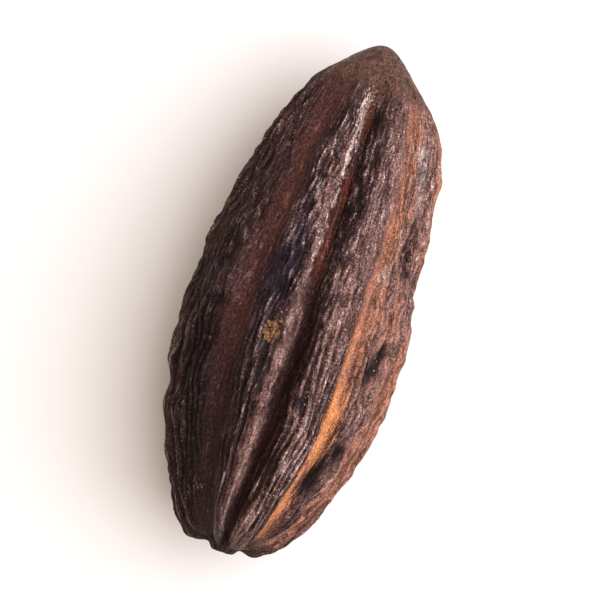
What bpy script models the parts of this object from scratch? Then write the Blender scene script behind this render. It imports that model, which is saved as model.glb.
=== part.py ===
# A cacao pod, picked and dried, lying on its side on two of its ribs.
# It is one piece: an ovoid rind with ten furrows between ten wrinkled ribs, a dimple at
# the stalk end with the small woody scar of the stalk in it, and a smooth blunt tip.
# Metres. Y runs along the pod from the stalk end to the tip, Z is up.
# The origin is on the resting surface, under the middle of the pod.

import math

import bmesh
import bpy
import numpy as np

# The smooth ovoid that the ribs and furrows are raised on
POD_LENGTH = 0.200
POD_RADIUS = 0.0422
BELLY = 0.45  # place of the widest girth, as a share of the length from the stalk end
STALK_END_FULLNESS = 2.2  # 2 is an ellipse, and more is fuller
TIP_END_FULLNESS = 1.85
TIP_PINCH = 0.22  # share of the girth lost at the very tip
TIP_PINCH_LENGTH = 0.012

# The stalk end: a dimple with the scar of the stalk standing in it
DIMPLE_DEPTH = 0.0042
DIMPLE_RADIUS = 0.0085
SCAR_RADIUS = 0.0052
SCAR_HEIGHT = 0.0030
SCAR_EDGE = 8  # how sharply the scar's edge drops: 2 is a round hump

# How the girth departs from the ovoid's at stations along the pod
GIRTH_STATIONS = (0.0, 0.12, 0.25, 0.45, 0.58, 0.72, 0.84, 0.93, 1.0)
GIRTH = (1.0, 0.95, 0.985, 1.0, 0.985, 0.98, 1.0, 1.03, 1.0)

# Height of the pod's axis over the surface: the two lowest ribs are worn flat there
AXIS_HEIGHT = 0.0398

# Facets of the rind: close rings over the stalk end and the tip, and even ones between
SECTORS = 106
RINGS = 56
STALK_RINGS = 6
STALK_RINGS_REACH = 0.010
TIP_RINGS = 5
TIP_RINGS_REACH = 0.014
CURVE_STEPS = 2000  # steps in which the length along the rind is measured

# Stations along the pod, as shares of its length, at which a furrow's angle is given
STATIONS = (0.0, 0.08, 0.25, 0.5, 0.75, 0.92, 1.0)

# Furrows round the pod: angle in degrees from the top line at each station, then the groove's
# depth, the reach of its two walls, and how flat its floor is (2 is round, 4 is flat)
FURROWS = (
    {"angles": (-3, -2, 2, 1.5, 3, 3.5, 4), "depth": 0.0040, "walls": (0.0019, 0.0046), "floor": 2.4},
    {"angles": (40, 38, 37, 35, 41, 49, 52), "depth": 0.0023, "walls": (0.0034, 0.0034), "floor": 2.6},
    {"angles": (54, 58, 66, 69, 70, 74, 78), "depth": 0.0024, "walls": (0.0030, 0.0034), "floor": 2.4},
    {"angles": (100, 101, 103, 105, 106, 108, 110), "depth": 0.0034, "walls": (0.0030, 0.0040), "floor": 2.2},
    {"angles": (140, 141, 143, 142, 143, 142, 142), "depth": 0.0022, "walls": (0.0036, 0.0034), "floor": 2.6},
    {"angles": (180, 180, 179, 180, 181, 180, 179), "depth": 0.0036, "walls": (0.0036, 0.0032), "floor": 2.2},
    {"angles": (217, 218, 217, 218, 216, 217, 217), "depth": 0.0023, "walls": (0.0034, 0.0036), "floor": 2.6},
    {"angles": (255, 254, 252, 252, 251, 250, 248), "depth": 0.0033, "walls": (0.0038, 0.0030), "floor": 2.2},
    {"angles": (302, 299, 291, 288, 286, 284, 282), "depth": 0.0028, "walls": (0.0030, 0.0030), "floor": 2.4},
    {"angles": (336, 333, 328, 327, 327, 325, 323), "depth": 0.0024, "walls": (0.0060, 0.0056), "floor": 3.6},
)
CROWN_HEIGHT = 0.0016  # how far a rib's middle stands over its sides

# Lumps and lengthwise wrinkles on the ribs: cells round and along the pod, height, and seed
NOISE_GAIN = 1.5
WARTS = {"around": 30, "along": 15, "height": 0.0016, "seed": 11}
WRINKLES = {"around": 36, "along": 9, "height": 0.0021, "seed": 23}
FOLD_NARROWNESS = 1.2
FOLD_SHARPNESS = 1.3
FOLD_MIDDLE = 0.5  # share of a fold's height that lies under the rib's own surface
SWAY = {"around": 14, "along": 7, "turn": 0.055, "seed": 5}  # how wrinkles wander sideways, in radians

# Raised folds that run along the ribs: angle in degrees at each station, height, half width
CREST_ROUNDNESS = 1.4  # 2 is round, 1 is a sharp edge
CRESTS = (
    {"angles": (-9, -8, -4, -3.5, -2, -1.5, 0), "height": 0.0009, "half_width": 0.0016},
    {"angles": (12, 13, 18, 15, 19, 23, 26), "height": 0.0010, "half_width": 0.0015},
    {"angles": (23, 24, 28, 25, 32, 40, 44), "height": 0.0008, "half_width": 0.0016},
    {"angles": (46, 49, 58, 60, 61, 63, 66), "height": 0.0010, "half_width": 0.0018},
    {"angles": (84, 85, 88, 90, 89, 92, 94), "height": 0.0010, "half_width": 0.0016},
    {"angles": (124, 122, 126, 121, 124, 126, 128), "height": 0.0010, "half_width": 0.0016},
    {"angles": (236, 238, 233, 237, 233, 234, 232), "height": 0.0010, "half_width": 0.0016},
    {"angles": (286, 284, 281, 285, 281, 289, 294), "height": 0.0012, "half_width": 0.0016},
    {"angles": (308, 309, 300, 297, 293, 302, 305), "height": 0.0013, "half_width": 0.0015},
    {"angles": (345, 345, 347, 343, 346, 348, 350), "height": 0.0009, "half_width": 0.0017},
)

# Sunken places, and with a negative depth swollen ones: angle in degrees, station, half width,
# half length, depth
DENTS = (
    (88, 0.585, 0.0120, 0.0130, 0.0028),
    (88, 0.830, 0.0120, 0.0150, -0.0029),
    (272, 0.150, 0.0120, 0.0180, 0.0014),
    (275, 0.630, 0.0120, 0.0100, -0.0008),
    (53, 0.44, 0.0028, 0.0055, 0.0020),
    (46, 0.19, 0.0028, 0.0070, 0.0022),
    (52, 0.25, 0.0026, 0.0050, 0.0013),
    (52, 0.64, 0.0026, 0.0060, 0.0013),
    (287, 0.66, 0.0030, 0.0060, 0.0018),
    (305, 0.72, 0.0026, 0.0060, 0.0014),
    (296, 0.33, 0.0028, 0.0080, 0.0016),
    (290, 0.17, 0.0028, 0.0070, 0.0016),
    (161, 0.56, 0.0060, 0.0200, -0.0008),
    (198, 0.56, 0.0060, 0.0200, -0.0012),
)

# Where the ribs fade into the smooth tip, as shares of the length, and how far from the axis
# they rise out of the dimple at the stalk end
RIBS_FADE = (0.86, 0.97)
RIBS_RISE = (0.0052, 0.0128)

RIND_COLOUR = (0.055, 0.024, 0.018, 1.0)


def clear_scene():
    for thing in list(bpy.data.objects):
        bpy.data.objects.remove(thing, do_unlink=True)


def fade(value, start, end):
    """0 before start and 1 after end, with a smooth turn between them."""
    share = np.clip((value - start) / (end - start), 0, 1)
    return share * share * (3 - 2 * share)


def along_stations(values, station, stations=STATIONS):
    """A smooth curve through one value at each station."""
    knots = np.array(stations)
    values = np.array(values, float)
    slopes = np.gradient(values, knots)
    span = np.clip(np.searchsorted(knots, station, side="right") - 1, 0, len(knots) - 2)
    width = knots[span + 1] - knots[span]
    s = (station - knots[span]) / width
    return (
        values[span] * (1 + 2 * s) * (1 - s) ** 2
        + slopes[span] * width * s * (1 - s) ** 2
        + values[span + 1] * s * s * (3 - 2 * s)
        - slopes[span + 1] * width * s * s * (1 - s)
    )


def gradient_noise(angle, station, around, along, seed):
    """Smooth noise from about -1 to 1, with this many cells round and along the pod. It closes on itself."""
    random = np.random.default_rng(seed)
    turns = random.uniform(0, 2 * math.pi, (along + 2, around))
    u = np.mod(angle / (2 * math.pi), 1.0) * around
    v = np.clip(station, 0, 1) * along
    column = np.floor(u).astype(int)
    row = np.floor(v).astype(int)
    du = u - column
    dv = v - row

    def corner(right, up):
        turn = turns[row + up, (column + right) % around]
        return np.cos(turn) * (du - right) + np.sin(turn) * (dv - up)

    ease_u = du**3 * (du * (6 * du - 15) + 10)
    ease_v = dv**3 * (dv * (6 * dv - 15) + 10)
    low = corner(0, 0) * (1 - ease_u) + corner(1, 0) * ease_u
    high = corner(0, 1) * (1 - ease_u) + corner(1, 1) * ease_u
    return NOISE_GAIN * (low * (1 - ease_v) + high * ease_v)


def ovoid(polar):
    """Distance from the belly along the axis, radius, and outward direction of the smooth ovoid."""
    towards_tip = polar > math.pi / 2
    side = np.where(towards_tip, 1.0, -1.0)
    reach = np.where(towards_tip, 1 - BELLY, BELLY) * POD_LENGTH
    fullness = np.where(towards_tip, TIP_END_FULLNESS, STALK_END_FULLNESS)
    cosine = np.abs(np.cos(polar))
    sine = np.sin(polar)
    axial = side * reach * cosine ** (2 / fullness)
    radius = POD_RADIUS * sine ** (2 / fullness)
    radius = radius * along_stations(GIRTH, BELLY + axial / POD_LENGTH, GIRTH_STATIONS)
    to_tip = (1 - BELLY) * POD_LENGTH - axial
    radius = radius * (1 - TIP_PINCH * np.exp(-((to_tip / TIP_PINCH_LENGTH) ** 2)))
    out_axial = side * cosine ** (2 - 2 / fullness) / reach
    out_radial = sine ** (2 - 2 / fullness) / POD_RADIUS
    length = np.hypot(out_axial, out_radial)
    return axial, radius, out_axial / length, out_radial / length


def furrow_distances(angle, station):
    """Signed angle from each furrow, in radians, one row for each furrow."""
    centres = np.array([along_stations(furrow["angles"], station) for furrow in FURROWS])
    away = angle[None, :] - np.radians(centres)
    return (away + math.pi) % (2 * math.pi) - math.pi


def rib_height(away, radius):
    """Height of the crowned ribs and the grooves between them, and how far a point is from any groove."""
    left = np.where(away > 0, away, 2 * math.pi).min(axis=0)
    right = np.where(away <= 0, -away, 2 * math.pi).min(axis=0)
    crown = np.sin(math.pi * left / (left + right))
    height = -CROWN_HEIGHT * (1 - crown)
    open_rib = np.ones_like(radius)
    for turn, furrow in zip(away, FURROWS):
        across = turn * radius
        wall = np.where(across < 0, furrow["walls"][0], furrow["walls"][1])
        groove = np.exp(-(np.abs(across / wall) ** furrow["floor"]))
        height = height - furrow["depth"] * groove
        open_rib = open_rib * (1 - groove)
    return height, open_rib


def wrinkle_height(angle, station):
    """Height of the lumps and lengthwise folds."""
    sway = gradient_noise(angle, station, SWAY["around"], SWAY["along"], SWAY["seed"])
    angle = angle + SWAY["turn"] * sway
    lump = gradient_noise(angle, station, WARTS["around"], WARTS["along"], WARTS["seed"])
    fold = gradient_noise(angle, station, WRINKLES["around"], WRINKLES["along"], WRINKLES["seed"])
    crest = (1 - np.minimum(FOLD_NARROWNESS * np.abs(fold), 1)) ** FOLD_SHARPNESS
    return WARTS["height"] * lump + WRINKLES["height"] * (crest - FOLD_MIDDLE)


def crest_height(angle, station, radius):
    """Height of the long raised folds."""
    sway = gradient_noise(angle, station, SWAY["around"], SWAY["along"], SWAY["seed"])
    height = np.zeros_like(radius)
    for crest in CRESTS:
        centre = np.radians(along_stations(crest["angles"], station))
        turn = (angle + SWAY["turn"] * sway - centre + math.pi) % (2 * math.pi) - math.pi
        across = np.abs(turn * radius / crest["half_width"])
        height += crest["height"] * np.exp(-(across**CREST_ROUNDNESS))
    return height


def dent_depth(angle, station, radius):
    """Depth of the sunken places, less than 0 in the swollen ones."""
    depth = np.zeros_like(radius)
    for degrees, centre, half_width, half_length, deepest in DENTS:
        turn = (angle - math.radians(degrees) + math.pi) % (2 * math.pi) - math.pi
        across = turn * radius / half_width
        along = (station - centre) * POD_LENGTH / half_length
        depth += deepest * np.exp(-(across**2) - along**2)
    return depth


def ring_polar(ring):
    """Polar angle of a ring, counted from the stalk end, from its distance along the rind."""
    fine = np.linspace(0, math.pi, CURVE_STEPS)
    axial, radius, _, _ = ovoid(fine)
    steps = np.hypot(np.diff(axial), np.diff(radius))
    arc = np.concatenate(([0.0], np.cumsum(steps)))
    counts = (0, STALK_RINGS, RINGS - TIP_RINGS, RINGS)
    reaches = (0.0, STALK_RINGS_REACH, arc[-1] - TIP_RINGS_REACH, arc[-1])
    return np.interp(np.interp(ring, counts, reaches), arc, fine)


def rind_points(polar, angle):
    """Points of the rind, for a polar angle from the stalk end and an angle round from the top line."""
    axial, radius, out_axial, out_radial = ovoid(polar)
    station = BELLY + axial / POD_LENGTH
    ribs, open_rib = rib_height(furrow_distances(angle, station), radius)
    rough = open_rib * (wrinkle_height(angle, station) * radius / POD_RADIUS)
    rough += crest_height(angle, station, radius) - dent_depth(angle, station, radius)
    near_tip = 1 - fade(station, *RIBS_FADE)
    near_axis = fade(radius, *RIBS_RISE)
    height = near_tip * near_axis * (ribs + rough)

    radius_out = radius + height * out_radial
    axial_out = axial + height * out_axial
    at_stalk = axial < 0
    dimple = DIMPLE_DEPTH * np.exp(-((radius / DIMPLE_RADIUS) ** 2))
    scar = SCAR_HEIGHT * np.exp(-((radius / SCAR_RADIUS) ** SCAR_EDGE))
    axial_out = axial_out + np.where(at_stalk, dimple - scar, 0.0)

    x = radius_out * np.sin(angle)
    z = radius_out * np.cos(angle)
    return np.column_stack((x, axial_out, np.maximum(z, -AXIS_HEIGHT)))


def rind_material():
    material = bpy.data.materials.new("dried_rind")
    material.use_nodes = True
    shader = material.node_tree.nodes["Principled BSDF"]
    shader.inputs["Base Color"].default_value = RIND_COLOUR
    shader.inputs["Roughness"].default_value = 0.5
    shader.inputs["Metallic"].default_value = 0.0
    return material


def make_pod(collection):
    """The whole pod: a ball whose points are moved onto the rind."""
    shape = bmesh.new()
    bmesh.ops.create_uvsphere(shape, u_segments=SECTORS, v_segments=RINGS, radius=1.0)
    ball = np.array([vertex.co for vertex in shape.verts])
    ring = np.round(np.arccos(np.clip(-ball[:, 2], -1, 1)) * RINGS / math.pi)
    angle = np.arctan2(ball[:, 0], ball[:, 1])
    points = rind_points(ring_polar(ring), angle)
    middle = (points.min(axis=0) + points.max(axis=0)) / 2
    points -= (middle[0], middle[1], points[:, 2].min())
    for vertex, point in zip(shape.verts, points):
        vertex.co = point
    bmesh.ops.recalc_face_normals(shape, faces=shape.faces)
    mesh = bpy.data.meshes.new("cacao_pod")
    shape.to_mesh(mesh)
    shape.free()
    mesh.shade_smooth()
    mesh.materials.append(rind_material())
    pod = bpy.data.objects.new("cacao_pod", mesh)
    collection.objects.link(pod)
    return pod


clear_scene()
pod_collection = bpy.data.collections.new("Cacao pod")
bpy.context.scene.collection.children.link(pod_collection)
make_pod(pod_collection)
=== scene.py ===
# A dried cacao pod on a white table top, seen from straight above.
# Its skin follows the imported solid's form on a finer grid, with the small folds, pits and grain added.
# Metres. Y runs along the pod from the stalk end to the tip, Z is up, and angles turn from the top to +X.

import math

import bpy
import numpy as np
from mathutils import Matrix, Vector


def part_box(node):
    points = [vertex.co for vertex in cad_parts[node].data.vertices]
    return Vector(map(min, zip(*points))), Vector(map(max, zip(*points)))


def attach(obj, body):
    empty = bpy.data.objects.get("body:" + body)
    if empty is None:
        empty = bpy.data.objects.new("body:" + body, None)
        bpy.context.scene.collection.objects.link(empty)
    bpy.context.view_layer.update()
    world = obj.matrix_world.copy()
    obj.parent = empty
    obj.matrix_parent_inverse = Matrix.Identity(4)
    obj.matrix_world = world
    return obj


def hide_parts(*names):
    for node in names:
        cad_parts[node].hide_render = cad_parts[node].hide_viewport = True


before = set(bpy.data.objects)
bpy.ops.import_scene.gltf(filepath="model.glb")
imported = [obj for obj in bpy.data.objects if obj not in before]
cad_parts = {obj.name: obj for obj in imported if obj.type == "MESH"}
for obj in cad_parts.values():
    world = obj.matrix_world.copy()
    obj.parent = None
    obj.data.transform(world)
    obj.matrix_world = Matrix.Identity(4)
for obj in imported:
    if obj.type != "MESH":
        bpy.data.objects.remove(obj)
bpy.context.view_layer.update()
print("frame loaded")

# The big form, the same as the solid's

form = {
    "length": 0.200,
    "radius": 0.0422,
    "belly": 0.45,  # place of the widest girth, from the stalk end
    "stalkFullness": 2.2,
    "tipFullness": 1.85,
    "tipPinch": 0.22,
    "tipPinchLength": 0.012,
    "dimpleDepth": 0.0042,
    "dimpleRadius": 0.0085,
    "scarRadius": 0.0052,
    "scarHeight": 0.0030,
    "scarEdge": 8,
    "girthStations": (0.0, 0.12, 0.25, 0.45, 0.58, 0.72, 0.84, 0.93, 1.0),
    "girth": (1.0, 0.95, 0.985, 1.0, 0.985, 0.98, 1.0, 1.03, 1.0),
    "axisHeight": 0.0398,  # over the table, so that the two lowest ribs are pressed flat
    "crown": 0.0016,
    "ribsFade": (0.86, 0.97),  # ribs end here at the tip
    "ribsRise": (0.0052, 0.0128),  # and start here at the stalk, from the axis
    "stations": (0.0, 0.08, 0.25, 0.5, 0.75, 0.92, 1.0),  # where paths along the pod give their angles
}

# Furrows: path in degrees, depth, reach of the two walls, and how flat the floor is
furrows = [
    {"path": (-3, -2, 2, 1.5, 3, 3.5, 4), "depth": 0.0040, "walls": (0.0019, 0.0046), "floor": 2.4},
    {"path": (40, 38, 37, 35, 41, 49, 52), "depth": 0.0023, "walls": (0.0034, 0.0034), "floor": 2.6},
    {"path": (54, 58, 66, 69, 70, 74, 78), "depth": 0.0024, "walls": (0.0030, 0.0034), "floor": 2.4},
    {"path": (100, 101, 103, 105, 106, 108, 110), "depth": 0.0034, "walls": (0.0030, 0.0040), "floor": 2.2},
    {"path": (140, 141, 143, 142, 143, 142, 142), "depth": 0.0022, "walls": (0.0036, 0.0034), "floor": 2.6},
    {"path": (180, 180, 179, 180, 181, 180, 179), "depth": 0.0036, "walls": (0.0036, 0.0032), "floor": 2.2},
    {"path": (217, 218, 217, 218, 216, 217, 217), "depth": 0.0023, "walls": (0.0034, 0.0036), "floor": 2.6},
    {"path": (255, 254, 252, 252, 251, 250, 248), "depth": 0.0033, "walls": (0.0038, 0.0030), "floor": 2.2},
    {"path": (302, 299, 291, 288, 286, 284, 282), "depth": 0.0028, "walls": (0.0030, 0.0030), "floor": 2.4},
    {"path": (336, 333, 328, 327, 327, 325, 323), "depth": 0.0024, "walls": (0.0060, 0.0056), "floor": 3.6},
]

# Long raised folds: path in degrees, height, half width
crests = [
    {"path": (-9, -8, -4, -3.5, -2, -1.5, 0), "height": 0.0009, "halfWidth": 0.0016},
    {"path": (12, 13, 18, 15, 19, 23, 26), "height": 0.0010, "halfWidth": 0.0015},
    {"path": (23, 24, 28, 25, 32, 40, 44), "height": 0.0008, "halfWidth": 0.0016},
    {"path": (46, 49, 58, 60, 61, 63, 66), "height": 0.0010, "halfWidth": 0.0018},
    {"path": (84, 85, 88, 90, 89, 92, 94), "height": 0.0010, "halfWidth": 0.0016},
    {"path": (124, 122, 126, 121, 124, 126, 128), "height": 0.0010, "halfWidth": 0.0016},
    {"path": (236, 238, 233, 237, 233, 234, 232), "height": 0.0010, "halfWidth": 0.0016},
    {"path": (286, 284, 281, 285, 281, 289, 294), "height": 0.0012, "halfWidth": 0.0016},
    {"path": (308, 309, 300, 297, 293, 302, 305), "height": 0.0013, "halfWidth": 0.0015},
    {"path": (345, 345, 347, 343, 346, 348, 350), "height": 0.0009, "halfWidth": 0.0017},
]

# Sunken places, or swollen where the depth is negative: degrees, station, half width, half length, depth
dents = [
    (88, 0.585, 0.0120, 0.0130, 0.0028),
    (88, 0.830, 0.0120, 0.0150, -0.0029),
    (272, 0.150, 0.0120, 0.0180, 0.0014),
    (275, 0.630, 0.0120, 0.0100, -0.0008),
    (53, 0.44, 0.0028, 0.0055, 0.0020),
    (46, 0.19, 0.0028, 0.0070, 0.0022),
    (52, 0.25, 0.0026, 0.0050, 0.0013),
    (52, 0.64, 0.0026, 0.0060, 0.0013),
    (287, 0.66, 0.0030, 0.0060, 0.0018),
    (305, 0.72, 0.0026, 0.0060, 0.0014),
    (296, 0.33, 0.0028, 0.0080, 0.0016),
    (290, 0.17, 0.0028, 0.0070, 0.0016),
    (161, 0.56, 0.0060, 0.0200, -0.0008),
    (198, 0.56, 0.0060, 0.0200, -0.0012),
]

# Lumps and broad folds on the ribs: cells round and along the pod
relief = {
    "gain": 1.5,
    "warts": {"around": 30, "along": 15, "height": 0.0016, "seed": 11},
    "folds": {"around": 36, "along": 9, "height": 0.0021, "seed": 23},
    "foldNarrowness": 1.2,
    "foldSharpness": 1.3,
    "crestRoundness": 1.4,
    "sway": {"around": 14, "along": 7, "turn": 0.055, "seed": 5},
}


def band(path, reach, strength, stations=form["stations"]):  # path in degrees, a value for each station
    return {"path": path, "reach": reach, "strength": strength, "stations": stations}


# Only on the skin: the small folds that the solid is too coarse for. They run with the furrows.
# Pairs are the start and the end of a fade, as stations or as distances from the axis.
fine = {
    "long": {"count": 90, "height": 0.00125, "wander": 2.6, "around": 30, "along": 9, "seed": 31},
    "short": {"count": 112, "height": 0.00105, "wander": 2.6, "around": 44, "along": 19, "seed": 37},
    "longLevel": 0.6,  # taken off, so that the folds rise and sink about the solid's form
    "shortLevel": 0.5,
    "sharpness": 1.15,
    "towardsTip": (0.38, 0.54),  # where long folds give way to short ones
    "foldsStart": (0.003, 0.008),
    "slimEnds": 1.8,  # small folds shrink where the girth is under 1 / 1.8 of the widest
    "inFurrows": 0.08,  # share of the small folds left in the furrows
    "bandEdge": 2.6,  # the higher, the sharper
    "swell": {"around": 48, "along": 17, "seed": 43},  # where the long folds stand higher
    "swellRange": (0.75, 0.6, 0.15, 1.3),  # middle, gain, least, most
    "broken": {"around": 74, "along": 26, "seed": 41},  # where the short folds break off
    "brokenRange": (0.6, 1.1, 0.0, 1.2),
    "net": {"around": 40, "along": 17, "height": 0.00050, "seed": 53},
    "netNarrowness": 3.2,
    "netSharpness": 1.5,
    "waver": 0.03,  # how far the grain's coordinates wander, in radians
    "wander": {"around": 40, "along": 22, "turn": 0.020, "seed": 61},  # and the colour bands
    # Smoother bands: the valley left of the middle, the crest beside the deep furrow, and the right side
    "calm": band((-24, -26, -29, -32, -32, -31, -30), 0.0100, (0.2, 0.4, 0.6, 0.6, 0.5, 0.5, 0.3)),
    "smoothCrest": band((-9, -7, -4.5, -2.5, -2.2, -2, 0), 0.0030, (0.5, 1, 1, 1, 0.6, 0.5, 0.3)),
    "fair": band((68, 66, 68, 62, 72, 78, 82), 0.0210, (0.5, 0.6, 0.7, 0.9, 0.9, 0.8, 0.5)),
    "smoothing": {"calm": 0.65, "smoothCrest": 0.8, "fair": 0.4},
    "furrowSharpness": 2.5,
    "narrowFloor": {"more": 7, "stations": (0.50, 0.64)},  # the first furrow's smooth floor narrows here
    "crestLine": 0.4,  # share of a raised fold's half width that gets the painted highlight
    "fullFold": 0.0006,  # heights that have the full painted shade black or painted highlight grey
    "fullLump": 0.0018,
    "foldRange": (-1.5, 1),
    "crestHighlightsLost": 0.75,  # at the tip half
    "scarMark": {"reach": 1.15, "edge": 6},
    "floorEdge": (0.35, 0.75),  # no mauve, painted highlight or painted glints lie on the deep furrow's floor
    "darkRindAndShadeEdge": (-9, -11, -13, -17, -26, -30, -32),  # degrees: left of this line the rind is painted darker, partly its own darker colour and partly painted shade on the side away from the lamp
    "darkRindAndShadeWidth": (-6, 20),
    "darkRindAndShadeStrength": (0.6, 0.92, 1.05, 1.15, 0.92, 0.55, 0.2),
    "darkRindAndShadeEnd": (32, 80),  # degrees round the left side where it gives way again
    "cap": (0.84, 0.97),
    "tipRings": {"around": 9, "along": 150, "height": 0.00014, "seed": 47},
    "ringsRise": (0.84, 0.93),
    "ringsStart": (0.001, 0.006),
    "stalkEnd": (0.010, 0.022),
    "stalkEndRugged": 0.9,
    "stalkFibres": {"around": 130, "along": 9, "height": 0.00030, "seed": 59},
    "fibresLie": {"rise": (0.0006, 0.003), "end": (0.010, 0.016), "shorter": 3},
    "knobs": {"around": 30, "along": 60, "height": 0.0016, "seed": 67},  # on the stalk end
    "knobsLie": {"rise": (0.004, 0.009), "end": (0.014, 0.026)},
}


def fade(value, start, end):
    share = np.clip((value - start) / (end - start), 0, 1)
    return share * share * (3 - 2 * share)


def wrapTurn(turn):
    return (turn + math.pi) % (2 * math.pi) - math.pi


# A smooth curve through one value at each station
def alongStations(values, station, stations=form["stations"]):
    if isinstance(values, float):
        return values
    knots = np.array(stations)
    values = np.array(values, float)
    slopes = np.gradient(values, knots)
    span = np.clip(np.searchsorted(knots, station, side="right") - 1, 0, len(knots) - 2)
    width = knots[span + 1] - knots[span]
    s = (station - knots[span]) / width
    ends = values[span] * (1 + 2 * s) * (1 - s) ** 2 + values[span + 1] * s * s * (3 - 2 * s)
    return ends + width * s * (1 - s) * (slopes[span] * (1 - s) - slopes[span + 1] * s)


def cellNoise(angle, station, cells):  # smooth noise, about -1 to 1, that closes on itself round the pod
    around, along = cells["around"], cells["along"]
    turns = np.random.default_rng(cells["seed"]).uniform(0, 2 * math.pi, (along + 2, around))
    u = np.mod(angle / (2 * math.pi), 1.0) * around
    v = np.clip(station, 0, 1) * along
    column, row = np.floor(u).astype(int), np.floor(v).astype(int)
    du, dv = u - column, v - row

    def corner(right, up):
        turn = turns[row + up, (column + right) % around]
        return np.cos(turn) * (du - right) + np.sin(turn) * (dv - up)

    easeU = du**3 * (du * (6 * du - 15) + 10)
    easeV = dv**3 * (dv * (6 * dv - 15) + 10)
    low = corner(0, 0) * (1 - easeU) + corner(1, 0) * easeU
    high = corner(0, 1) * (1 - easeU) + corner(1, 1) * easeU
    return relief["gain"] * (low * (1 - easeV) + high * easeV)


def ovoid(polar):  # distance from the belly, radius, and outward direction of the smooth pod
    towardsTip = polar > math.pi / 2
    side = np.where(towardsTip, 1.0, -1.0)
    reach = np.where(towardsTip, 1 - form["belly"], form["belly"]) * form["length"]
    fullness = np.where(towardsTip, form["tipFullness"], form["stalkFullness"])
    cosine, sine = np.abs(np.cos(polar)), np.sin(polar)
    axial = side * reach * cosine ** (2 / fullness)
    radius = form["radius"] * sine ** (2 / fullness)
    station = form["belly"] + axial / form["length"]
    radius = radius * alongStations(form["girth"], station, form["girthStations"])
    toTip = (1 - form["belly"]) * form["length"] - axial
    radius = radius * (1 - form["tipPinch"] * np.exp(-((toTip / form["tipPinchLength"]) ** 2)))
    outAxial = side * cosine ** (2 - 2 / fullness) / reach
    outRadial = sine ** (2 - 2 / fullness) / form["radius"]
    outLength = np.hypot(outAxial, outRadial)
    return axial, radius, outAxial / outLength, outRadial / outLength


# The ribs' height, each furrow's groove from 0 to 1, and a turn that runs with the furrows
def ribsAndGrooves(angle, station, radius):
    centres = np.array([alongStations(furrow["path"], station) for furrow in furrows])
    away = wrapTurn(angle[None, :] - np.radians(centres))
    left = np.where(away > 0, away, 2 * math.pi).min(axis=0)
    right = np.where(away <= 0, -away, 2 * math.pi).min(axis=0)
    share = left / (left + right)
    height = -form["crown"] * (1 - np.sin(math.pi * share))
    flow = (np.where(away > 0, away, 2 * math.pi).argmin(axis=0) + share) * 2 * math.pi / len(furrows)
    grooves = []
    for turn, furrow in zip(away, furrows):
        across = turn * radius
        wall = np.where(across < 0, furrow["walls"][0], furrow["walls"][1])
        groove = np.exp(-(np.abs(across / wall) ** furrow["floor"]))
        height = height - furrow["depth"] * groove
        grooves.append(groove)
    return height, np.array(grooves), flow


def dentDepth(angle, station, radius, places):
    depth = np.zeros_like(radius)
    for degrees, centre, halfWidth, halfLength, deepest in places:
        across = wrapTurn(angle - math.radians(degrees)) * radius / halfWidth
        along = (station - centre) * form["length"] / halfLength
        depth += deepest * np.exp(-(across**2) - along**2)
    return depth


def stripe(angle, station, radius, path, reach, strength, stations):  # a band with soft edges
    halfWidth = alongStations(reach, station, stations)
    across = wrapTurn(angle - np.radians(alongStations(path, station, stations))) * radius / halfWidth
    shown = np.clip(alongStations(strength, station, stations), 0, 1)
    return shown * np.exp(-np.abs(across) ** fine["bandEdge"])


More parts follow.
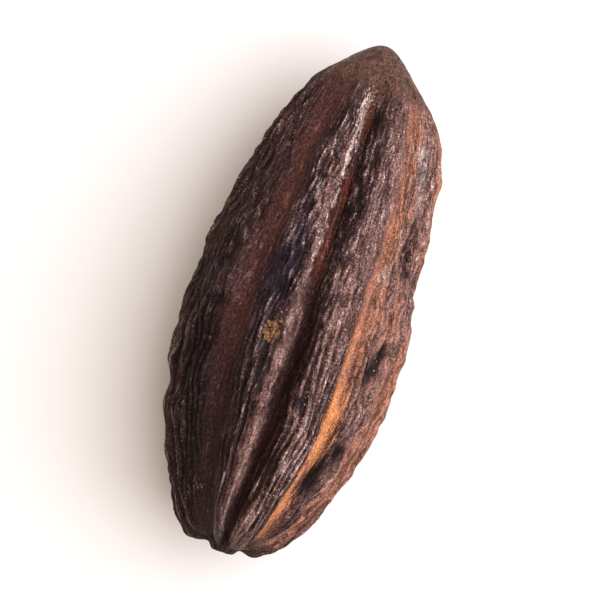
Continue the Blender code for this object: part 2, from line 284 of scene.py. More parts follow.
# Where each finish lies: bands along the pod, with their path, reach and strength
crestStations = (0.0, 0.10, 0.20, 0.31, 0.41, 0.46, 0.52, 0.60, 0.66, 0.72, 0.77, 0.80, 0.85, 0.90, 1.0)
finishes = {
    "terracotta": [
        band(
            (38, 35.5, 36.5, 37.3, 37.6, 37.8, 38, 39.5, 42, 45, 48.5, 51, 52.5, 50, 45),
            (0.0042,) * 4 + (0.0050, 0.0058, 0.0060, 0.0046, 0.0042, 0.0046, 0.0036)
            + (0.0031, 0.0031, 0.0031, 0.0022),
            (0.4, 0.8, 0.85, 0.85, 0.8, 0.78, 0.76, 0.72, 0.72, 0.68, 0.72, 0.8, 0.78, 0.72, 0.3),
            crestStations,
        ),
        band((54, 57, 62, 67, 70, 74, 78), 0.0050, (0.2, 0.6, 0.9, 0.7, 0.5, 0.5, 0.2)),
        band((66, 68, 76, 84, 90, 92, 94), 0.0105, (0.2, 0.6, 0.95, 0.7, 0.6, 0.5, 0.0)),
        band((50, 50, 54, 53, 60, 66, 70), 0.0070, (0.0, 0.0, 0.2, 0.6, 0.5, 0.2, 0.0)),
        band((100, 101, 103, 105, 106, 108, 110), 0.0060, (0.5, 0.6, 0.6, 0.6, 0.5, 0.4, 0.2)),
        band((140, 141, 143, 142, 143, 142, 142), 0.0045, (0.2, 0.5, 0.6, 0.4, 0.4, 0.3, 0.1)),
        band((336, 333, 329, 329, 327, 326, 326), 0.0030, (0.0, 0.0, 0.0, 0.0, 0.38, 0.2, 0.0)),
    ],
    "orange": [
        band(
            (38, 35.5, 37.2, 35.5, 46, 50, 46),
            (0.0014, 0.0022, 0.0044, 0.0021, 0.0019, 0.0018, 0.0018),
            (0.2, 0.8, 1.0, 0.30, 0.42, 0.2, 0.0),
        ),
        band((56, 60, 66, 67, 70, 74, 78), 0.0030, (0.4, 0.4, 0.3, 0.1, 0.0, 0.0, 0.0)),
    ],
    "red": [
        band(
            (1, 2, 3, 4, 3.5, 3.0, 3.0, 2.9, 3.0, 3.6, 3.0, 2.4, 3.2, 3.4, 3),
            (0.0026,) * 8 + (0.0029, 0.0036, 0.0030, 0.0026, 0.0032, 0.0032, 0.0026),
            (0.0, 0.0, 0.0, 0.0, 0.1, 0.2, 0.35, 0.85, 0.6, 1.0, 0.6, 0.45, 1.0, 0.8, 0.2),
            crestStations,
        ),
    ],
    "wine": [
        band((336, 333, 328, 327, 327, 325, 323), 0.0080, (0.0, 0.1, 0.35, 1.0, 0.7, 0.75, 0.3)),
        band((302, 299, 291, 288, 286, 284, 282), 0.0030, (0.2, 0.3, 0.4, 0.4, 0.4, 0.3, 0.2)),
        band((217, 218, 217, 218, 216, 217, 217), 0.0040, (0.3, 0.5, 0.6, 0.6, 0.7, 0.5, 0.2)),
        band((180, 180, 179, 180, 181, 180, 179), 0.0040, (0.2, 0.4, 0.5, 0.5, 0.5, 0.4, 0.2)),
    ],
    "mauve": [
        band(
            (-8, -7, -3.6, -4.2, -1.6, -1.2, -3.2, -4.0, -6.0, -6.5, -5.0, -3.4, -3.4, -3, -2),
            (0.0033,) * 7 + (0.0038, 0.0042, 0.0048, 0.0044) + (0.0036,) * 4,
            (0.0, 0.4, 0.7, 0.7, 0.65, 0.65, 0.6, 0.6, 0.8, 0.9, 0.85, 0.6, 0.5, 0.3, 0.1),
            crestStations,
        ),
        band((47, 48, 52, 50, 54, 61, 65), 0.0065, (0.2, 0.3, 0.7, 1.0, 0.9, 0.8, 0.4)),
        band((14, 15, 19, 20, 31, 39, 42), 0.0080, (0.3, 0.7, 0.95, 1.0, 0.95, 0.5, 0.2)),
        band((84, 85, 88, 84, 84, 88, 90), 0.0110, (0.2, 0.4, 0.6, 0.9, 0.9, 0.5, 0.2)),
        band((58, 58, 58, 62, 64, 70, 74), 0.0060, (0.0, 0.1, 0.5, 1.0, 0.7, 0.3, 0.0)),
    ],
    "paintedHighlight": [  # the painted highlight along the long crest
        band(
            (-6, -5, -2.8, -3.4, 0.0, -0.2, -2.6, -2.4, -2.0, -2.3, -0.8, -0.6, -2.0, -2.6, -2),
            (0.0021,) * 9 + (0.0023, 0.0025, 0.0026, 0.0027, 0.0027, 0.0021),
            (0.0, 0.0, 0.05, 0.10, 0.20, 0.3, 0.35, 0.55, 0.6, 0.9, 0.94, 0.9, 0.74, 0.68, 0.1),
            crestStations,
        ),
        band((60, 62, 70, 76, 80, 82, 84), 0.0050, (0.3, 0.3, 0.2, 0.3, 0.5, 0.4, 0.2)),
    ],
    "paintedGlints": [  # painted glints: strong patches of painted highlight grey and painted shade black
        band((-13, -13, -12, -11, -13, -14, -14), 0.0070, (0.1, 0.1, 0.2, 0.7, 0.9, 0.3, 0.1)),
        band((14, 16, 19, 22, 18, 18, 20), 0.0085, (0.2, 0.9, 1.0, 0.6, 0.5, 0.5, 0.2)),
    ],
    "soft": [  # more grain and less black
        band((20, 22, 26, 26, 29, 34, 38), 0.0085, (0.0, 0.1, 0.2, 0.7, 1.0, 0.7, 0.2)),
        band((-66, -66, -66, -66, -64, -62, -60), 0.0150, (0.2, 0.5, 0.4, 0.1, 1.0, 1.0, 0.5)),
    ],
    "valley": [  # less of the painted highlight grey, and less of the painted shade on the left side
        band((-24, -27, -31, -32, -32, -34, -36), 0.0085, (0.0, 0.0, 0.3, 0.9, 0.6, 0.7, 0.5)),
    ],
    "floor": [  # the deep furrow's floor, painted near black: partly its own dark colour, partly painted shade in the recess
        band(
            (-3, 1.0, 4.2, 5.0, 5.8, 6.6, 4.0, 3.4, 3.4, 3.4, 3.4, 3.4, 3.0, 3.0, 3.0),
            (0.0014, 0.0025, 0.0029, 0.0035, 0.0035, 0.0035, 0.0036) + (0.0028,) * 8,
            (0.8, 1.0, 1.0, 1.0, 1.0, 0.9, 0.6, 0.3) + (0.0,) * 7,
            crestStations,
        ),
    ],
}

# Small places: degrees, station, half width, half length, strength
places = {
    # Painted shade in the sunken pits
    "paintedPitShade": [
        (54, 0.452, 0.0028, 0.0045, 1.0), (51, 0.428, 0.0034, 0.0050, 0.8),
        (47.5, 0.402, 0.0026, 0.0042, 0.6), (45, 0.19, 0.0034, 0.0074, 1.1),
        (52, 0.25, 0.0030, 0.0048, 0.8), (52, 0.64, 0.0018, 0.0050, 0.6),
        (287, 0.66, 0.0022, 0.0050, 0.8), (305, 0.72, 0.0020, 0.0050, 0.6),
        (296, 0.33, 0.0020, 0.0070, 0.6), (290, 0.17, 0.0022, 0.0060, 0.8),
        (14, 0.86, 0.0018, 0.0050, 0.5),
    ],
    "scab": [(-10.5, 0.430, 0.0028, 0.0052, 1.0), (-44, 0.385, 0.0012, 0.0018, 0.5)],
    # Painted sheen: pale places where the rind catches the light
    "paintedSheen": [
        (56, 0.82, 0.0034, 0.0045, 1.0), (39, 0.715, 0.0020, 0.0050, 0.7),
        (41.5, 0.585, 0.0022, 0.0045, 0.9), (47, 0.66, 0.0016, 0.0060, 0.7),
        (58, 0.745, 0.0032, 0.0110, 0.8), (71, 0.66, 0.0030, 0.0080, 0.6),
        (-11, 0.700, 0.0020, 0.0060, 0.9), (-10, 0.775, 0.0014, 0.0040, 0.5),
        (-17, 0.67, 0.0016, 0.0050, 0.5),
    ],
    "dim": [
        (63, 0.79, 0.0042, 0.0110, 1.0), (56, 0.650, 0.0026, 0.0110, 0.9),
        (57, 0.60, 0.0034, 0.0100, 0.9), (70, 0.88, 0.0040, 0.0060, 0.6),
        (66, 0.45, 0.0034, 0.0080, 0.8), (46, 0.40, 0.0022, 0.0080, 0.7),
        (35, 0.675, 0.0012, 0.0070, 0.9), (70, 0.55, 0.0036, 0.0090, 0.8),
        (58, 0.70, 0.0022, 0.0080, 0.8), (53, 0.51, 0.0022, 0.0070, 0.6),
    ],
    "specks": [
        (52, 0.43, 0.0022, 0.0040, 1.0), (54, 0.36, 0.0030, 0.0060, 0.7),
        (36, 0.83, 0.0040, 0.0060, 0.8), (6, 0.90, 0.0050, 0.0040, 0.7),
        (20, 0.15, 0.0040, 0.0050, 0.8), (46, 0.67, 0.0026, 0.0050, 0.6),
        (30, 0.49, 0.0010, 0.0012, 1.0), (5, 0.77, 0.0020, 0.0030, 0.5),
        (-6, 0.63, 0.0022, 0.0060, 0.6), (17, 0.34, 0.0026, 0.0070, 0.7),
        (23, 0.27, 0.0022, 0.0060, 0.7), (-2, 0.21, 0.0020, 0.0040, 0.6),
    ],
    "blue": [(-17, 0.53, 0.0050, 0.0180, 1.0), (-12, 0.60, 0.0030, 0.0100, 0.6)],
}


def ridges(noise, narrowness, sharpness):  # sharp-topped folds along the noise's zero lines, 0 to 1
    return (1 - np.minimum(narrowness * np.abs(noise), 1)) ** sharpness


def parallelFolds(flow, station, cells):  # long sharp-topped folds side by side, 0 to 1
    wave = cells["count"] * flow / 2 + cells["wander"] * cellNoise(flow, station, cells)
    return (1 - np.abs(np.sin(wave))) ** fine["sharpness"]


def patchy(flow, station, name):  # a share that changes over the rind
    middle, gain, least, most = fine[name + "Range"]
    return np.clip(middle + gain * cellNoise(flow, station, fine[name]), least, most)


# The skin's points, the unrolled place that the grain reads, and a mask for each finish
def rindPoints(polar, angle):
    axial, radius, outAxial, outRadial = ovoid(polar)
    station = form["belly"] + axial / form["length"]
    girthShare = radius / form["radius"]
    atStalk = axial < 0
    ribs, grooves, flow = ribsAndGrooves(angle, station, radius)
    openRib = np.prod(1 - grooves, axis=0)

    # The relief that the solid has too
    swayed = angle + relief["sway"]["turn"] * cellNoise(angle, station, relief["sway"])
    lump = cellNoise(swayed, station, relief["warts"])
    broadNoise = cellNoise(swayed, station, relief["folds"])
    broad = ridges(broadNoise, relief["foldNarrowness"], relief["foldSharpness"])
    rough = relief["warts"]["height"] * lump + relief["folds"]["height"] * (broad - 0.5)
    # The raised folds, and their narrow tops where a highlight is painted
    raised, crestHighlights = np.zeros_like(radius), np.zeros_like(radius)
    for crest in crests:
        turn = wrapTurn(swayed - np.radians(alongStations(crest["path"], station)))
        across = turn * radius / crest["halfWidth"]
        raised += crest["height"] * np.exp(-np.abs(across) ** relief["crestRoundness"])
        crestHighlights = np.maximum(crestHighlights, np.exp(-((across / fine["crestLine"]) ** 2)))
    height = ribs + openRib * rough * girthShare + raised - dentDepth(angle, station, radius, dents)

    # Small folds, held back where the rind is smooth
    towardsTip = fade(station, *fine["towardsTip"])
    calm = stripe(angle, station, radius, **fine["calm"])
    fair = stripe(angle, station, radius, **fine["fair"])
    smoothCrest = stripe(angle, station, radius, **fine["smoothCrest"])
    sharper = np.full(grooves.shape, fine["furrowSharpness"])
    sharper[0] += fine["narrowFloor"]["more"] * fade(station, *fine["narrowFloor"]["stations"])
    smoothing = fine["smoothing"]
    rugged = np.prod(1 - grooves**sharper, axis=0) * (1 - smoothing["smoothCrest"] * smoothCrest)
    rugged = rugged * (1 - smoothing["calm"] * calm) * (1 - smoothing["fair"] * fair)
    stalkEnd = (1 - fade(radius, *fine["stalkEnd"])) * atStalk
    rugged = np.maximum(rugged, fine["stalkEndRugged"] * stalkEnd)
    long, short = fine["long"], fine["short"]
    longFold = parallelFolds(flow, station, long) * patchy(flow, station, "swell") - fine["longLevel"]
    shortFold = parallelFolds(flow, station, short) * patchy(flow, station, "broken") - fine["shortLevel"]
    net = ridges(cellNoise(swayed, station, fine["net"]), fine["netNarrowness"], fine["netSharpness"])
    small = long["height"] * longFold * (1 - towardsTip) + short["height"] * shortFold * towardsTip
    small = small * (fine["inFurrows"] + (1 - fine["inFurrows"]) * rugged)
    small = small + fine["net"]["height"] * net * calm * openRib
    small = small * np.minimum(girthShare * fine["slimEnds"], 1)

    # The two ends
    nearTip = 1 - fade(station, *form["ribsFade"])
    nearAxis = fade(radius, *form["ribsRise"])
    rings = fine["tipRings"]["height"] * cellNoise(angle, station, fine["tipRings"])
    rings = rings * fade(station, *fine["ringsRise"]) * fade(radius, *fine["ringsStart"])
    lie = fine["fibresLie"]
    fibres = fine["stalkFibres"]["height"] * cellNoise(angle, station * lie["shorter"], fine["stalkFibres"])
    fibres = fibres * (1 - fade(radius, *lie["end"])) * fade(radius, *lie["rise"]) * atStalk
    lie = fine["knobsLie"]
    knobs = fine["knobs"]["height"] * cellNoise(swayed, station, fine["knobs"]) * openRib
    knobs = knobs * (1 - fade(radius, *lie["end"])) * fade(radius, *lie["rise"]) * atStalk
    height = nearTip * (nearAxis * height + fade(radius, *fine["foldsStart"]) * small)
    height += rings + fibres + knobs

    radiusOut = radius + height * outRadial
    axialOut = axial + height * outAxial
    dimple = form["dimpleDepth"] * np.exp(-((radius / form["dimpleRadius"]) ** 2))
    scar = form["scarHeight"] * np.exp(-((radius / form["scarRadius"]) ** form["scarEdge"]))
    axialOut = axialOut + np.where(atStalk, dimple - scar, 0.0)
    z = np.maximum(radiusOut * np.cos(angle), -form["axisHeight"])
    points = np.column_stack((radiusOut * np.sin(angle), axialOut, z))
    waver = flow + fine["waver"] * cellNoise(flow, station, fine["net"])
    unrolled = np.column_stack((form["radius"] * np.sin(waver), axial, form["radius"] * np.cos(waver)))

    # Masks
    turned = np.degrees(wrapTurn(angle))
    # Painted shade: the side away from the lamp is darkened in the colour, partly the rind's own darker tone
    darkRindAndShade = fade(alongStations(fine["darkRindAndShadeEdge"], station) - turned, *fine["darkRindAndShadeWidth"])
    darkRindAndShade = darkRindAndShade * alongStations(fine["darkRindAndShadeStrength"], station) * (1 - fade(-turned, *fine["darkRindAndShadeEnd"]))
    mark = fine["scarMark"]
    masks = {
        "rugged": rugged * nearTip,
        "fold": np.clip(small / fine["fullFold"], *fine["foldRange"]) * nearTip,
        "lump": np.clip((rough * openRib + raised) / fine["fullLump"], -1, 1) * nearTip,
        "crestHighlights": crestHighlights * nearTip * (1 - fine["crestHighlightsLost"] * towardsTip),
        "darkRindAndShade": darkRindAndShade,
        "fair": fair,
        "cap": fade(station, *fine["cap"]),
        "stalkEnd": stalkEnd,
        "scar": np.exp(-((radius / (form["scarRadius"] * mark["reach"])) ** mark["edge"])) * atStalk,
    }
    wandering = angle + fine["wander"]["turn"] * cellNoise(angle, station, fine["wander"])
    for name, bands in finishes.items():
        masks[name] = np.max([stripe(wandering, station, radius, **one) for one in bands], axis=0)
    for name in ("mauve", "paintedHighlight", "paintedGlints"):
        masks[name] = masks[name] * (1 - fade(masks["floor"], *fine["floorEdge"]))
    for name, spots in places.items():
        masks[name] = np.clip(dentDepth(angle, station, radius, spots), 0, 1)
    return points, unrolled, masks


# Shader sums

class Socket:  # a node's output that takes part in sums
    def __init__(self, paint, output):
        self.paint = paint
        self.output = output

    def sum(self, operation, first, second):
        return self.paint.node("ShaderNodeMath", {"operation": operation}, {0: first, 1: second})

    def __add__(self, other):
        return self.sum("ADD", self, other)

    def __radd__(self, other):
        return self.sum("ADD", other, self)

    def __sub__(self, other):
        return self.sum("SUBTRACT", self, other)

    def __rsub__(self, other):
        return self.sum("SUBTRACT", other, self)

    def __mul__(self, other):
        return self.sum("MULTIPLY", self, other)

    def __rmul__(self, other):
        return self.sum("MULTIPLY", other, self)

    def __abs__(self):
        return self.paint.node("ShaderNodeMath", {"operation": "ABSOLUTE"}, {0: self})


class Paint:  # a material's nodes
    def __init__(self, name):
        self.material = bpy.data.materials.new(name)
        self.material.use_nodes = True
        self.tree = self.material.node_tree
        self.shader = self.tree.nodes["Principled BSDF"]

    def node(self, kind, settings=None, sockets=None, output=0):
        made = self.tree.nodes.new(kind)
        for name, value in (settings or {}).items():
            setattr(made, name, value)
        for name, value in (sockets or {}).items():
            self.feed(made.inputs[name], value)
        return Socket(self, made.outputs[output])

    def feed(self, socket, value):
        if isinstance(value, Socket):
            self.tree.links.new(value.output, socket)
        elif isinstance(value, tuple) and len(value) == 3 and socket.type == "RGBA":
            socket.default_value = (*value, 1.0)
        else:
            socket.default_value = value

    def mask(self, name):  # a mask that the mesh carries
        return self.node("ShaderNodeAttribute", {"attribute_name": name}, output="Fac")

    def blend(self, first, second, share):  # colours
        return self.node("ShaderNodeMix", {"data_type": "RGBA"}, {0: share, 6: first, 7: second}, output=2)

    def vectors(self, operation, first, second):
        return self.node("ShaderNodeVectorMath", {"operation": operation}, {0: first, 1: second})

    def range(self, value, low, high, newLow=0.0, newHigh=1.0):
        sockets = {"Value": value, "From Min": low, "From Max": high, "To Min": newLow, "To Max": newHigh}
        return self.node("ShaderNodeMapRange", {"interpolation_type": "SMOOTHSTEP"}, sockets)

    def plain(self, along):  # coordinates in which a pattern runs this much longer along the pod
        place = self.node("ShaderNodeTexCoord", output="Object")
        return self.vectors("MULTIPLY", place, (1.0, 1.0 / along, 1.0))

    def withFurrows(self, along):  # the same, but turning with the furrows
        place = self.node("ShaderNodeAttribute", {"attribute_name": "unrolled"}, output="Vector")
        return self.vectors("MULTIPLY", place, (1.0, 1.0 / along, 1.0))

    def noise(self, place, size, detail=3.0, roughness=0.55):
        sockets = {"Vector": place, "Scale": 1.0 / size, "Detail": detail, "Roughness": roughness}
        return self.node("ShaderNodeTexNoise", None, sockets, output="Fac")

    def cells(self, place, size):
        sockets = {"Vector": place, "Scale": 1.0 / size}
        return self.node("ShaderNodeTexVoronoi", None, sockets, output="Distance")


# The rind's finish

rind = {
    "colours": {
        "rib": (0.060, 0.028, 0.026),
        # ribBlackAndShade is the rind's black and also the painted shade in low places and creases;
        # ribHighlightGrey is a painted highlight
        "ribBlackAndShade": (0.009, 0.004, 0.005),
        "ribHighlightGrey": (0.56, 0.42, 0.405),
        "red": (0.110, 0.031, 0.020),
        "wine": (0.108, 0.041, 0.038),
        "orange": (0.70, 0.285, 0.115),
        "terracotta": (0.41, 0.178, 0.115),
        "mauve": (0.30, 0.165, 0.145),
        # the painted highlight's colour, also used for the painted sheen
        "paintedHighlight": (0.60, 0.46, 0.43),
        "blue": (0.036, 0.022, 0.046),
        "cap": (0.168, 0.080, 0.055),
        "capDark": (0.055, 0.030, 0.022),
        "scab": (0.30, 0.150, 0.062),
        "speck": (0.80, 0.70, 0.42),
        "scar": (0.10, 0.068, 0.050),
        "pitShadeBlack": (0.006, 0.004, 0.004),
        # floor: the deep furrow's floor, partly painted shade
        "floor": (0.015, 0.004, 0.003),
        "stalkEnd": (0.034, 0.021, 0.017),
    },
    "sizes": {  # of the grain, in metres, from the finest
        "fineSpeckle": 0.00044,
        "grain": 0.00070,
        "pebble": 0.0010,
        "dot": 0.0010,
        "fleck": 0.0013,
        "capRing": 0.0017,
        "flake": 0.0018,
        "streak": 0.0020,
        "crease": 0.0026,
        "hair": 0.0028,
        "scabEdge": 0.0040,
        "blotch": 0.0090,
        "swirl": 0.014,
    },
    "ranges": {  # where each mark's noise sets in, where it is full, and the values there if not 0 and 1
        "creases": (0.0, 0.06),
        "hairs": (0.0, 0.030, 1.0, 0.0),
        "hairPlaces": (0.90, 1.20),
        "ribMauve": (0.5, 0.8),
        "wineBrown": (0.42, 0.75),
        "wine": (0.1, 0.8),
        "red": (0.2, 0.8),
        "mauve": (0.25, 0.95),
        "terracotta": (0.25, 0.85),
        "orange": (0.25, 1.0),
        "black": (0.0, 0.7),
        "grey": (0.3, 1.0),
        "crestHighlights": (0.55, 1.2),
        "dim": (0.4, 0.9),
        "paintedSheen": (0.3, 1.1),
        "paintedHighlight": (0.45, 1.15),
        "paintedPitShade": (0.12, 0.80),
        "capRings": (0.40, 0.64),
        "cap": (0.25, 0.8),
        "scab": (0.45, 0.7),
        "scabReach": (0.05, 0.2),
        "scabFlakes": (0.35, 0.6),
        "dots": (0.12, 0.26, 1.0, 0.0),
        "specks": (0.4, 0.7),
        "grainShade": (0.3, 0.7, 0.52, 1.48),
        "pebbleShade": (0.1, 0.7, 1.2, 0.7),
        "fineSpeckleShade": (0.25, 0.75, 0.58, 1.46),
        "roughness": (0.7, 1.3, 0.30, 0.60),
    },
    "shares": {  # how much each mark covers where it is full
        "wineBrown": 0.75,
        "blue": 0.85,
        "crestHighlights": 0.4,
        "hairs": 0.22,
        "dim": 0.85,
        "paintedSheen": 0.55,
        "floor": 0.85,
        "paintedPitShade": 0.94,
        "scar": 0.8,
        "darkRindAndShade": 0.62,
    },
    "swirlReach": 0.030,  # how far the cap's rings are pushed about
    "bump": 0.00045,
    "shine": 0.09,
}


def rindFinish():
    paint = Paint("driedRind")
    colours, sizes, shares = rind["colours"], rind["sizes"], rind["shares"]

    def level(name, noise):  # how strongly a mark shows
        return paint.range(noise, *rind["ranges"][name])

    def over(below, name, share):
        return paint.blend(below, colours[name], share)

    def ragged(name, noise):  # a mask whose edges the noise eats, and which adds nothing outside
        mask = paint.mask(name)
        return mask + mask * noise

    near = paint.plain(1.0)
    fineSpeckle = paint.noise(near, sizes["fineSpeckle"], 1.0, 0.5)
    grain = paint.noise(near, sizes["grain"], 2.0, 0.6)
    pebbles = paint.cells(paint.withFurrows(1.8), sizes["pebble"])
    flecks = paint.noise(paint.withFurrows(3.0), sizes["fleck"], 3.0, 0.65)
    creases = level("creases", abs(paint.noise(paint.withFurrows(6.0), sizes["crease"], 3.0, 0.6) - 0.5))
    hairs = level("hairs", abs(paint.noise(paint.withFurrows(10.0), sizes["hair"], 1.5, 0.5) - 0.5))
    blotch = paint.noise(paint.withFurrows(2.2), sizes["blotch"], 4.0, 0.6)
    streaks = paint.noise(paint.withFurrows(9.0), sizes["streak"], 3.0, 0.6)
    grainy, flecky, blotchy, streaky = grain - 0.5, flecks - 0.5, blotch - 0.5, streaks - 0.5
    fold, lump, rugged = paint.mask("fold"), paint.mask("lump"), paint.mask("rugged")
    valley, fair = paint.mask("valley"), paint.mask("fair")
    soft, blue = paint.mask("soft"), paint.mask("blue")

    # The bands, from the ribs' own brown to the orange on top
    colour = over(colours["rib"], "mauve", level("ribMauve", blotch) * 0.3 + fair * 0.4 + soft * 0.15)
    wine = over(colours["wine"], "rib", level("wineBrown", streaks) * shares["wineBrown"])
    colour = paint.blend(colour, wine, level("wine", paint.mask("wine") + blotchy * 0.8))
    redShare = level("red", ragged("red", streaky * 1.5 + blotchy * 2.5))
    colour = over(colour, "red", redShare)
    colour = over(colour, "mauve", level("mauve", paint.mask("mauve") + flecky * 1.2 + blotchy))
    clay = paint.mask("terracotta") + streaky * 0.8 + blotchy * 1.1 + flecky * 0.6
    clayShare = level("terracotta", clay)
    colour = over(colour, "terracotta", clayShare)
    orange = paint.mask("orange")
    orangeNoise = streaky * 2.2 + blotchy * 1.8 + flecky * 0.8
    colour = over(colour, "orange", level("orange", orange + (orange + 0.15) * orangeNoise))
    colour = over(colour, "blue", blue * shares["blue"])

    # Painted shade: black in the low places of the relief. Painted highlight: grey on the high ones
    rough = rugged * 0.85 + 0.12
    # Painted glints: patches that push both the painted shade and the painted highlight
    paintedGlints = paint.mask("paintedGlints")
    fleck = flecky * (0.8 - fair * 0.4 - soft * 0.25) + grainy * (0.45 + soft * 0.6 + fair * 0.35)
    patches = blotchy * (paintedGlints * 2.4 + fair * 1.4)
    low = level("black", fold * -0.75 - lump * 0.35 - fleck * 1.8 - patches)
    colour = over(colour, "ribBlackAndShade", low * rough * (1 - fair * 0.4 - soft * 0.4))
    high = level("grey", fold * 0.6 + lump * 0.2 + fleck * 3.0 + patches + paintedGlints * 0.4)
    colour = over(colour, "ribHighlightGrey", high * rough * (1 - blue * 0.8) * (1 - valley * 0.7))
    # Painted highlight: thin grey lines along the tops of the raised folds
    crestHighlightShare = level("crestHighlights", ragged("crestHighlights", streaky * 2.5 + flecky * 2.5))
    colour = over(colour, "ribHighlightGrey", crestHighlightShare * shares["crestHighlights"])
    # Thin light lines, painted in the highlight grey
    hairShare = hairs * level("hairPlaces", flecks + blotch) * (1 - fair * 0.6) * (1 - blue)
    colour = over(colour, "ribHighlightGrey", hairShare * shares["hairs"])
    # Painted shade: the grain's crease lines are darkened towards black
    creaseShadeShare = rugged * 0.6 + fair * 0.25
    colour = paint.blend(colours["ribBlackAndShade"], colour, creases * creaseShadeShare + (1 - creaseShadeShare))

    # Patches, the painted highlight and sheen, the deep furrow's floor with its painted shade, and the pits'
    # painted shade
    dim = level("dim", ragged("dim", flecky * 5.0 + blotchy * 2.0))
    colour = over(colour, "ribBlackAndShade", dim * shares["dim"])
    # Painted sheen: pale patches in the painted highlight colour
    paintedSheen = level("paintedSheen", ragged("paintedSheen", flecky * 4.0 + grainy * 1.2))
    colour = over(colour, "paintedHighlight", paintedSheen * shares["paintedSheen"])
    # Painted highlight along the long crest
    paintedHighlight = ragged("paintedHighlight", flecky * 4.0 + grainy * 1.8 + blotchy * 2.0)
    colour = over(colour, "paintedHighlight", level("paintedHighlight", paintedHighlight))
    # The deep furrow's floor: partly its own dark colour, partly painted shade in the recess
    floor = paint.mask("floor")
    colour = over(colour, "floor", floor * (1 - redShare) * shares["floor"])
    # Painted shade: the pits are darkened to near black
    paintedPitShade = paint.mask("paintedPitShade")
    paintedPitShade = paintedPitShade + (paintedPitShade + 0.2) * (flecky * 2.0 + grainy * 0.9)
    colour = over(colour, "pitShadeBlack", level("paintedPitShade", paintedPitShade) * shares["paintedPitShade"])

    # The tip's cap with its rings, the scab, the stalk end and the specks
    push = (paint.noise(near, sizes["swirl"], 2.0) - 0.5) * rind["swirlReach"]
    swirled = paint.vectors("ADD", near, paint.node("ShaderNodeCombineXYZ", None, {"Y": push}))
    ringNoise = paint.noise(paint.vectors("MULTIPLY", swirled, (0.5, 1.6, 0.5)), sizes["capRing"])
    capTone = over(colours["cap"], "capDark", level("capRings", ringNoise))
    colour = paint.blend(colour, capTone, level("cap", paint.mask("cap") + blotchy * 0.9 - rugged * 0.35))
    scab = paint.mask("scab")
    flakes = paint.noise(near, sizes["flake"], 3.0, 0.7)
    scabEdge = scab + (paint.noise(near, sizes["scabEdge"], 2.0) - 0.5) * 1.4
    scabShare = level("scab", scabEdge * 1.2 + (flakes - 0.5) * 2.0) * level("scabReach", scab)
    scabTone = over(colours["capDark"], "scab", level("scabFlakes", flakes))
    colour = paint.blend(colour, scabTone, scabShare)
    colour = over(colour, "stalkEnd", paint.mask("stalkEnd") * (0.9 - grain * 0.4))
    colour = over(colour, "scar", paint.mask("scar") * shares["scar"])
    dots = level("dots", paint.cells(paint.plain(1.6), sizes["dot"]))
    colour = over(colour, "speck", dots * level("specks", paint.mask("specks") + grainy * 0.8))

    # Grain, with painted glints in it, and the painted shade on the left side, which is partly the rind's own
    # darker colour
    # The grain, the cells and the fine speckle lighten and darken the colour: partly the rind's own grain,
    # partly painted glints
    shade = level("grainShade", grain) * level("pebbleShade", pebbles)
    shade = shade * level("fineSpeckleShade", fineSpeckle)
    shade = shade * (1 - clayShare * 0.3) + clayShare * 0.3
    # Painted shade on the left side, held back in the valley, on the painted crest highlights and on the thin
    # light lines
    darkRindAndShadeShare = paint.mask("darkRindAndShade") * (1 - valley * 0.85) * (1 - crestHighlightShare) * (1 - hairShare * 0.5)
    shade = shade * (1 - darkRindAndShadeShare * shares["darkRindAndShade"])
    colour = paint.node("ShaderNodeVectorMath", {"operation": "SCALE"}, {0: colour, "Scale": shade})

    paint.feed(paint.shader.inputs["Base Color"], colour)
    paint.feed(paint.shader.inputs["Specular IOR Level"], rind["shine"])
    paint.feed(paint.shader.inputs["Roughness"], level("roughness", grain + flecks) + floor * 0.4)
    height = fineSpeckle * 0.25 + grain * 0.5 + flecks * 0.6 + streaks * 0.5 + creases * rugged * 0.5 - pebbles * 0.4
    sockets = {"Strength": 1.0, "Distance": rind["bump"], "Height": height}
    paint.feed(paint.shader.inputs["Normal"], paint.node("ShaderNodeBump", None, sockets))
    return paint.material


# The skin

skin = {
    "sectors": 600,
    "rings": 165,
    "ringCounts": (0, 16, 151, 165),  # rings lie closer at the stalk end and the tip
    "reaches": (0.010, 0.014),  # lengths of those two parts, along the rind
    "arcSteps": 4000,
}


def ringPolar(ring, counts, reaches):  # polar angle of each ring, from its distance along the rind
    steps = np.linspace(0, math.pi, skin["arcSteps"])
    axial, radius, _, _ = ovoid(steps)
    arc = np.concatenate(([0.0], np.cumsum(np.hypot(np.diff(axial), np.diff(radius)))))
    distances = (0.0, reaches[0], arc[-1] - reaches[1], arc[-1])
    return np.interp(np.interp(ring, counts, distances), arc, steps)


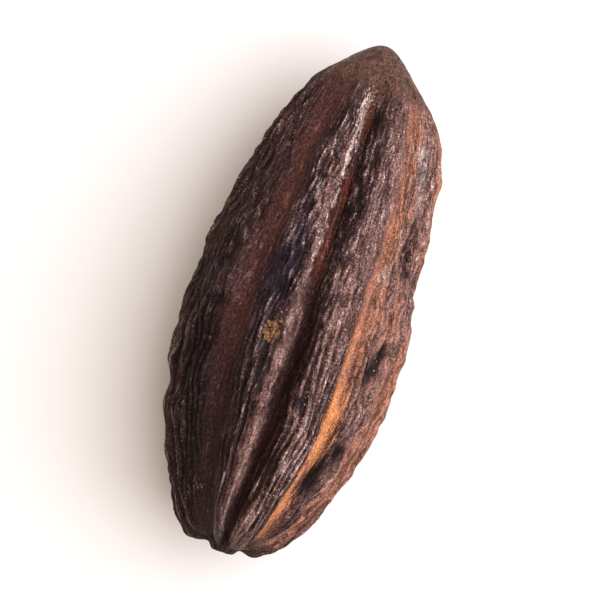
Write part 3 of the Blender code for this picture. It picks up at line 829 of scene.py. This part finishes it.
def makeSkin():
    sectors, rings = skin["sectors"], skin["rings"]
    ring, sector = np.meshgrid(np.arange(1, rings), np.arange(sectors), indexing="ij")
    ring = np.concatenate(([0], ring.ravel(), [rings]))  # the two ends have one point each
    sector = np.concatenate(([0], sector.ravel(), [0]))
    polar = ringPolar(ring, skin["ringCounts"], skin["reaches"])
    points, unrolled, masks = rindPoints(polar, wrapTurn(sector * 2 * math.pi / sectors))
    low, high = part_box("cacao_pod")
    middle = (points.min(axis=0) + points.max(axis=0)) / 2
    lowest = points[:, 2].min()
    points += ((low.x + high.x) / 2 - middle[0], (low.y + high.y) / 2 - middle[1], low.z - lowest)

    def corner(across, along):  # number of the point at a sector and a ring, from 1
        return 1 + (along - 1) * sectors + across % sectors

    last = len(points) - 1
    faces = []
    for across in range(sectors):
        faces.append((0, corner(across + 1, 1), corner(across, 1)))
        faces.append((last, corner(across, rings - 1), corner(across + 1, rings - 1)))
        for along in range(1, rings - 1):
            start, end = corner(across, along), corner(across + 1, along)
            faces.append((start, end, end + sectors, start + sectors))
    mesh = bpy.data.meshes.new("podSkin")
    mesh.from_pydata(points.tolist(), [], faces)
    mesh.shade_smooth()
    for name, values in masks.items():
        mesh.attributes.new(name, "FLOAT", "POINT").data.foreach_set("value", values.astype(np.float32))
    place = mesh.attributes.new("unrolled", "FLOAT_VECTOR", "POINT")
    place.data.foreach_set("vector", unrolled.astype(np.float32).ravel())
    mesh.materials.append(rindFinish())
    piece = bpy.data.objects.new("podSkin", mesh)
    bpy.context.scene.collection.objects.link(piece)
    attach(piece, "root")
    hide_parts("cacao_pod")
    print("pod skin made:", len(mesh.polygons), "faces")


# The table top, the lights and the camera

room = {
    "lean": 18.05,  # degrees that the pod leans to the right in the picture
    "tableSize": 3.0,
    "tableColour": (0.93, 0.92, 0.92),
    "tableCloud": 0.05,  # size of the faint clouds in its paint
    "tableWhiter": 1.02,  # and how much whiter they are
    "tableRoughness": 0.8,
    "keyPlace": (0.62, 0.02, 1.00),  # across the picture, up it, and over the table
    "keySize": 1.40,
    "keyPower": 21.0,
    "keyColour": (0.91, 0.93, 1.0),
    "skyColour": (1.0, 0.80, 0.64),
    "skyStrength": 0.62,
}
view = {
    "distance": 1.0,  # from the pod's axis
    "height": 0.04,
    "metresPerPixel": 0.000375,
    "pictureSize": 600,
    "podMiddle": (304, 299),  # where the pod's middle lies in the picture, in pixels
    "sensor": 36.0,
}
lean = math.radians(room["lean"])
pictureUp = Vector((-math.sin(lean), math.cos(lean), 0))
pictureRight = Vector((math.cos(lean), math.sin(lean), 0))


def makeTable():
    bpy.ops.mesh.primitive_plane_add(size=room["tableSize"])
    table = bpy.context.object
    table.name = "tableTop"
    paint = Paint("whitePaintedBoard")
    cloud = paint.noise(paint.plain(1.0), room["tableCloud"], 2.0)
    whiter = tuple(min(1.0, value * room["tableWhiter"]) for value in room["tableColour"])
    paint.feed(paint.shader.inputs["Base Color"], paint.blend(room["tableColour"], whiter, cloud))
    paint.feed(paint.shader.inputs["Roughness"], room["tableRoughness"])
    table.data.materials.append(paint.material)


def makeLights():
    world = bpy.data.worlds.new("softSky")
    bpy.context.scene.world = world
    world.use_nodes = True
    background = world.node_tree.nodes["Background"]
    background.inputs["Color"].default_value = (*room["skyColour"], 1.0)
    background.inputs["Strength"].default_value = room["skyStrength"]
    lamp = bpy.data.lights.new("windowLight", "AREA")
    lamp.energy = room["keyPower"]
    lamp.size = room["keySize"]
    lamp.color = room["keyColour"]
    key = bpy.data.objects.new("windowLight", lamp)
    across, up, over = room["keyPlace"]
    key.location = pictureRight * across + pictureUp * up + Vector((0, 0, over))
    key.rotation_euler = (-key.location).to_track_quat("-Z", "Y").to_euler()
    bpy.context.scene.collection.objects.link(key)


def makeCamera():
    lens = bpy.data.cameras.new("camera")
    width = view["metresPerPixel"] * view["pictureSize"]
    lens.sensor_width = view["sensor"]
    lens.lens = view["sensor"] * view["distance"] / width
    camera = bpy.data.objects.new("camera", lens)
    half = view["pictureSize"] / 2
    toRight = (half - view["podMiddle"][0]) * view["metresPerPixel"]
    toTop = (view["podMiddle"][1] - half) * view["metresPerPixel"]
    above = Vector((0, 0, view["height"] + view["distance"]))
    turned = Matrix((pictureRight, pictureUp, Vector((0, 0, 1)))).transposed().to_4x4()
    turned.translation = pictureRight * toRight + pictureUp * toTop + above
    camera.matrix_world = turned
    bpy.context.scene.collection.objects.link(camera)
    bpy.context.scene.camera = camera
    bpy.context.scene.view_settings.view_transform = "Standard"


makeSkin()
makeTable()
makeLights()
makeCamera()
print("table, lights and camera made")
